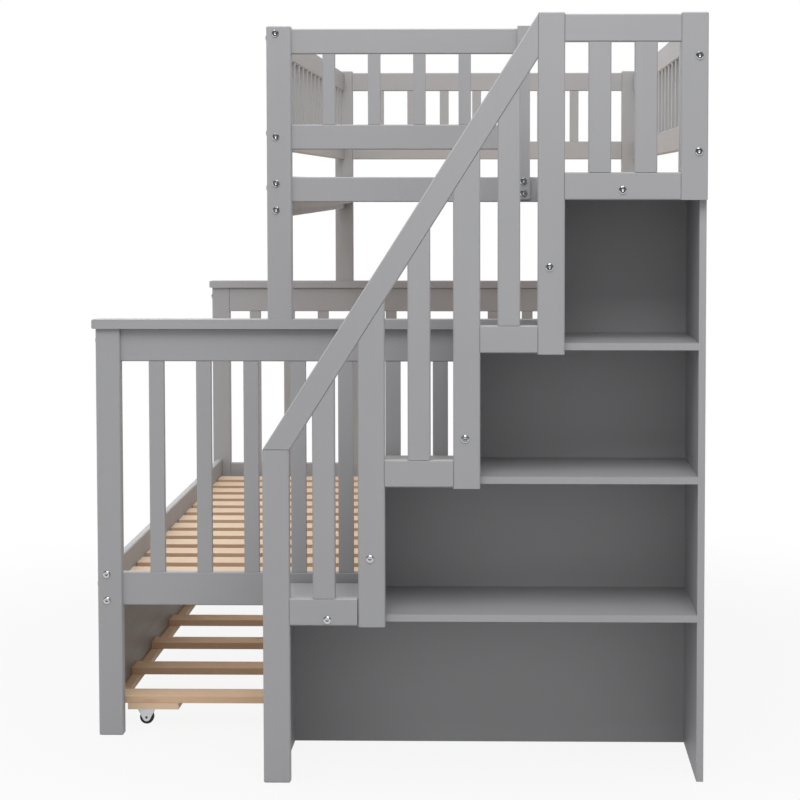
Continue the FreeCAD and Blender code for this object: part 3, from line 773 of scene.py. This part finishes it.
places = bolt_places("frame_bolts")
bolt_points = bpy.data.meshes.new("bolt_points")
bolt_points.from_pydata([seat for seat, _, _ in places], [], [])
for name, kind in (("facing", "FLOAT_VECTOR"), ("reach", "FLOAT")):
    bolt_points.attributes.new(name, kind, "POINT")
for n, (_, facing, reach) in enumerate(places):
    bolt_points.attributes["facing"].data[n].vector = facing
    bolt_points.attributes["reach"].data[n].value = reach
print(len(places), "bolts")

# %% [markdown]
# One tree sets a head and a shank on every point. Both are turned to the stored direction, and the
# shank is drawn out to the stored length.

# %% Set the bolts
def bolt_tree():
    """A head and a shank on every point, turned to the way the head faces."""
    graph, given, keys = open_tree("set_bolts", {
        "Points": "NodeSocketGeometry", "Head": "NodeSocketObject", "Shank": "NodeSocketObject",
        "Finish": "NodeSocketMaterial"}, "Bolts")
    spots = graph.node("GeometryNodeMeshToPoints", None, {"Mesh": given["Points"]})
    facing = graph.node("GeometryNodeInputNamedAttribute", {"data_type": "FLOAT_VECTOR"},
                        {"Name": "facing"})
    reach = graph.node("GeometryNodeInputNamedAttribute", {"data_type": "FLOAT"}, {"Name": "reach"})
    turn = graph.node("FunctionNodeAlignRotationToVector", {"axis": "Z"}, {"Vector": facing})
    drawn_out = graph.node("ShaderNodeCombineXYZ", None, {"X": 1.0, "Y": 1.0, "Z": reach})
    rows = []
    for name, scale in (("Head", (1.0, 1.0, 1.0)), ("Shank", drawn_out)):
        shape = graph.node("GeometryNodeObjectInfo", None, {"Object": given[name]}, out="Geometry")
        rows.append(graph.node("GeometryNodeInstanceOnPoints", None, {
            "Points": spots, "Instance": shape, "Rotation": turn, "Scale": scale}))
    close_tree(graph, joined(graph, rows), given["Finish"])
    return graph.tree, keys


bolts = made_plain("socket_bolts", *bolt_tree(), {
    "Head": head_pattern, "Shank": shank_pattern, "Finish": steel}, bolt_points)
for pattern in (head_pattern, shank_pattern):
    bpy.data.objects.remove(pattern)
stand_for(bolts, "frame_bolts", "bed_frame")
print("socket bolts:", len(bolts.data.polygons), "faces")

# %% [markdown]
# The trundle rolls on four rigid casters. A caster's fork is pressed from one strip of steel: a
# plate under the block and two legs that narrow to a round lobe at the axle, with a rivet through
# both. The solids hold the same fork with flat facets, so here its outline gets a true arc and its
# rivets.

# %% The caster's fork
FORK_METAL = 0.0025
LOBE_STEPS = 24
RIVET_RADIUS = 0.0042
RIVET_HEIGHT = 0.0012
RIVET_SIDES = 16
# A rivet's two steps: the share of its radius, and the shares of its height at both ends.
RIVET_STEPS = ((1.0, 0.0, 0.6), (0.72, 0.6, 1.0))


def strip(mesh, outline, ends):
    """A flat piece: an outline of (x, z) points between two levels of y."""
    near = [mesh.verts.new((x, min(ends), z)) for x, z in outline]
    far = [mesh.verts.new((x, max(ends), z)) for x, z in outline]
    mesh.faces.new(near)
    mesh.faces.new(list(reversed(far)))
    bridge(mesh, far, near)


def leg_outline(half_top, hub, lobe):
    """A leg that narrows from the plate to a round lobe about the axle, as (x, z) points."""
    rise = hub - FORK_METAL
    touch = math.atan2(rise, -half_top) + math.acos(lobe / math.hypot(half_top, rise))
    outline = [(half_top, -FORK_METAL), (-half_top, -FORK_METAL)]
    for n in range(LOBE_STEPS + 1):
        angle = touch + (3 * math.pi - 2 * touch) * n / LOBE_STEPS
        outline.append((lobe * math.cos(angle), lobe * math.sin(angle) - hub))
    return outline


def fork_shape(size, hub, lobe):
    """A fork with the top of its plate at z = 0 and its axle at z = -hub."""
    mesh = bmesh.new()
    half_top, half_wide = size[0] / 2, size[1] / 2
    plate = [(-half_top, -FORK_METAL), (half_top, -FORK_METAL), (half_top, 0), (-half_top, 0)]
    strip(mesh, plate, (-half_wide, half_wide))
    for side in (-1, 1):
        outer, inner = side * half_wide, side * (half_wide - FORK_METAL)
        strip(mesh, leg_outline(half_top, hub, lobe), (outer, inner))
        for across, *shares in RIVET_STEPS:
            radius = RIVET_RADIUS * across
            disc = [(radius * math.cos(angle), radius * math.sin(angle) - hub)
                    for angle in around(RIVET_SIDES)]
            strip(mesh, disc, [outer + side * RIVET_HEIGHT * share for share in shares])
    return mesh


def rivet_shade(point):
    """Painted shade on the rivets' tops, none elsewhere."""
    return float(abs(point.y) > fork_size.y / 2 + RIVET_HEIGHT - NEAR)


fork_boxes = [box_of(points) for points in islands("caster_forks")]
fork_size = fork_boxes[0][1] - fork_boxes[0][0]
wheels = [node for node in nodes if node.startswith("caster_wheel")]
wheel_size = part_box(wheels[0])[1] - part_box(wheels[0])[0]
hub_drop = fork_boxes[0][1].z - wheel_size.z / 2
lobe_radius = fork_size.z - hub_drop
fork_pattern = pattern_object("fork_pattern", fork_shape(fork_size, hub_drop, lobe_radius),
                              rivet_shade)
print("fork:", [round(value * 1000, 1) for value in fork_size], "mm, lobe",
      round(lobe_radius * 1000, 1), "mm")

# %% [markdown]
# A second, simpler tree sets a copy of the fork under every block. Its points are the middles of
# the solids' plates.

# %% Set the forks
def copies_tree():
    """A copy of one shape on every point."""
    graph, given, keys = open_tree("set_copies", {
        "Points": "NodeSocketGeometry", "Shape": "NodeSocketObject",
        "Finish": "NodeSocketMaterial"}, "Copies")
    spots = graph.node("GeometryNodeMeshToPoints", None, {"Mesh": given["Points"]})
    shape = graph.node("GeometryNodeObjectInfo", None, {"Object": given["Shape"]}, out="Geometry")
    row = graph.node("GeometryNodeInstanceOnPoints", None, {"Points": spots, "Instance": shape})
    close_tree(graph, row, given["Finish"])
    return graph.tree, keys


fork_points = bpy.data.meshes.new("fork_points")
fork_points.from_pydata([((low.x + high.x) / 2, (low.y + high.y) / 2, high.z)
                         for low, high in fork_boxes], [], [])
forks = made_plain("pressed_forks", *copies_tree(), {"Shape": fork_pattern, "Finish": steel},
                   fork_points)
bpy.data.objects.remove(fork_pattern)
stand_for(forks, "caster_forks", "trundle")
print("forks:", len(forks.data.polygons), "faces")

# %% [markdown]
# A caster's wheel is moulded: a tread with soft shoulders, a dished web and a hub that stands out
# to keep the web off the fork. That is one profile turned about the axle, so a ring of points for
# each corner of the profile makes it, and each wheel is a piece of its own because each turns with
# its own body.

# %% The wheels
WHEEL_STEPS = 64
SHARP_ANGLE = math.radians(35)
# One side from the bore to the tread: shares of the radius and of half the width.
WHEEL_SIDE = ((0.18, 1.0), (0.3, 1.0), (0.33, 0.86), (0.74, 0.86), (0.78, 1.0), (0.92, 1.0),
              (0.975, 0.94), (1.0, 0.8))


def wheel_shape(middle, radius, width):
    """A wheel turned about the y direction through its middle."""
    profile = [(r, -y) for r, y in WHEEL_SIDE] + [(r, y) for r, y in reversed(WHEEL_SIDE)]
    mesh = bmesh.new()
    rings = []
    for across, along in profile:
        rings.append([mesh.verts.new((middle.x + radius * across * math.cos(angle),
                                      middle.y + width / 2 * along,
                                      middle.z + radius * across * math.sin(angle)))
                      for angle in around(WHEEL_STEPS)])
    for first, second in zip(rings, rings[1:] + rings[:1]):
        bridge(mesh, first, second)
    return mesh


for node in wheels:
    low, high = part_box(node)
    size = high - low
    data = mesh_data(node + "_turned", wheel_shape((low + high) / 2, size.z / 2, size.y))
    data.materials.append(rubber)
    data.shade_smooth()
    data.set_sharp_from_angle(angle=SHARP_ANGLE)
    stand_for(placed(node + "_turned", data), node, node)
print("wheels:", len(wheels))

# %% [markdown]
# The studio has a pale floor. It is white only to the camera and in reflections, so it doesn't add
# light to the bed, and near the bed a share of its matt side shows, which keeps the soft shadow.
# In reflections the lit floor ends near the camera and the room behind it is dark: that gives the
# bolts their dark rings and bright lower rims.

# %% Floor
WHITE = (1.0, 1.0, 1.0, 1.0)
UNLIT = (0.1, 0.1, 0.1, 1.0)
FLOOR_GREY = (0.42, 0.42, 0.42, 1.0)
FLOOR_REACH = 30.0
FLOOR_DROP = -0.0006
SHADOW_NEAR, SHADOW_FAR = 1.0, 2.6
GLOW_BY_BED = 0.9
FLOOR_DARK, FLOOR_LIT = -7.5, -5.0


def seen_rays(graph):
    """One for rays from the camera, from reflections and through glass; and one for reflections."""
    rays = graph.tree.nodes.new("ShaderNodeLightPath")
    direct, mirrored, through = (Wire(graph, rays.outputs[name]) for name in (
        "Is Camera Ray", "Is Glossy Ray", "Is Transmission Ray"))
    seen = graph.node("ShaderNodeMath", {"operation": "ADD", "use_clamp": True},
                      {0: direct, 1: mirrored + through})
    return seen, mirrored


def dark_behind(graph, place, dark, lit, mirrored):
    """White, but in reflections dark behind the camera, that is at low values of y."""
    depth = graph.node("ShaderNodeSeparateXYZ", None, {0: place}, out="Y")
    return graph.mix(mirrored * graph.fade(depth, dark, lit, 1.0, 0.0), WHITE, UNLIT)


floor_paint, graph = new_material("studio_floor")
matt = graph.node("ShaderNodeBsdfDiffuse", None, {"Color": FLOOR_GREY})
place = graph.place()
away = graph.node("ShaderNodeVectorMath", {"operation": "LENGTH"}, {0: place}, out="Value")
seen, mirrored = seen_rays(graph)
glow = graph.node("ShaderNodeEmission", None, {
    "Color": dark_behind(graph, place, FLOOR_DARK, FLOOR_LIT, mirrored), "Strength": 1.0})
share = seen * graph.fade(away, SHADOW_NEAR, SHADOW_FAR, GLOW_BY_BED, 1.0)
shown = graph.node("ShaderNodeMixShader", None, {0: share, 1: matt, 2: glow})
graph.node("ShaderNodeOutputMaterial", None, {"Surface": shown})

floor_mesh = bpy.data.meshes.new("studio_floor")
floor_mesh.from_pydata([(x * FLOOR_REACH, y * FLOOR_REACH, FLOOR_DROP)
                        for x, y in ((-1, -1), (1, -1), (1, 1), (-1, 1))], [], [(0, 1, 2, 3)])
floor_mesh.materials.append(floor_paint)
floor = placed("studio_floor", floor_mesh)
print("floor:", 2 * FLOOR_REACH, "m wide")

# %% [markdown]
# The world lights the bed evenly from all round, at a plain level. To the camera it is white, like
# the floor, so the two meet without a line.

# %% World
WORLD_LIGHT = 0.74
SKY_DARK, SKY_LIT = -0.4, 0.1

world = bpy.data.worlds.new("studio")
bpy.context.scene.world = world
world.use_nodes = True
world.node_tree.nodes.clear()
graph = Graph(world.node_tree)
dim = graph.node("ShaderNodeBackground", None, {"Color": WHITE, "Strength": WORLD_LIGHT})
seen, mirrored = seen_rays(graph)
direction = graph.node("ShaderNodeTexCoord", out="Generated")
backdrop = graph.node("ShaderNodeBackground", None, {
    "Color": dark_behind(graph, direction, SKY_DARK, SKY_LIT, mirrored), "Strength": 1.0})
shown = graph.node("ShaderNodeMixShader", None, {0: seen, 1: dim, 2: backdrop})
graph.node("ShaderNodeOutputWorld", None, {"Surface": shown})
print("world light:", WORLD_LIGHT)

# %% [markdown]
# Large square lamps give soft light from above and in front, as in the photograph. Two weak ones,
# on the left and behind, reach under the bunk.

# %% Lamps
# Name, place, aim, side in metres and power in watts.
LAMPS = (("overhead", (-0.8, -0.2, 5.0), (-0.1, 0.2, 0.0), 3.0, 62),
         ("front", (0.35, -3.7, 4.5), (0.2, -0.8, 1.2), 2.5, 104),
         ("side", (-4.0, -0.6, 1.7), (0.0, 0.8, 0.7), 2.0, 14),
         ("back", (-2.2, 4.4, 1.6), (-0.1, 0.7, 0.6), 2.0, 28))

for name, place, aim, side, power in LAMPS:
    light = bpy.data.lights.new(name, "AREA")
    light.size = side
    light.energy = power
    lamp = placed(name, light)
    lamp.location = place
    lamp.rotation_euler = (Vector(aim) - Vector(place)).to_track_quat("-Z", "Y").to_euler()
    lamp.visible_camera = False
print("lamps:", [name for name, *_ in LAMPS])

# %% [markdown]
# The photograph looks straight at the stair end from just above the platform's height. Its upright
# lines stay parallel, as with a shifted lens, so the camera takes part of the shift and turns by
# the rest. The lens comes from how fast the far end shrinks against the near end.

# %% Camera
CAMERA_PLACE = (0.27951, -5.64721, 1.36566)
CAMERA_TURN = math.radians(0.926)
CAMERA_TILT = math.radians(-3.057)
SENSOR = 36.0
LENS = 89.486
SHIFT = (-0.0932, -0.1373)

camera_data = bpy.data.cameras.new("camera")
camera_data.sensor_width = SENSOR
camera_data.lens = LENS
camera_data.shift_x, camera_data.shift_y = SHIFT
camera = placed("camera", camera_data)
camera.location = CAMERA_PLACE
camera.rotation_euler = Euler((QUARTER + CAMERA_TILT, 0.0, CAMERA_TURN))
bpy.context.scene.camera = camera
bpy.context.scene.view_settings.view_transform = "Standard"
print("lens", LENS, "mm, tilt", round(math.degrees(CAMERA_TILT), 2), "degrees")

# %% [markdown]
# Paint and eased edges must not change the bed's size.

# %% End
print("bed dressed and lit")
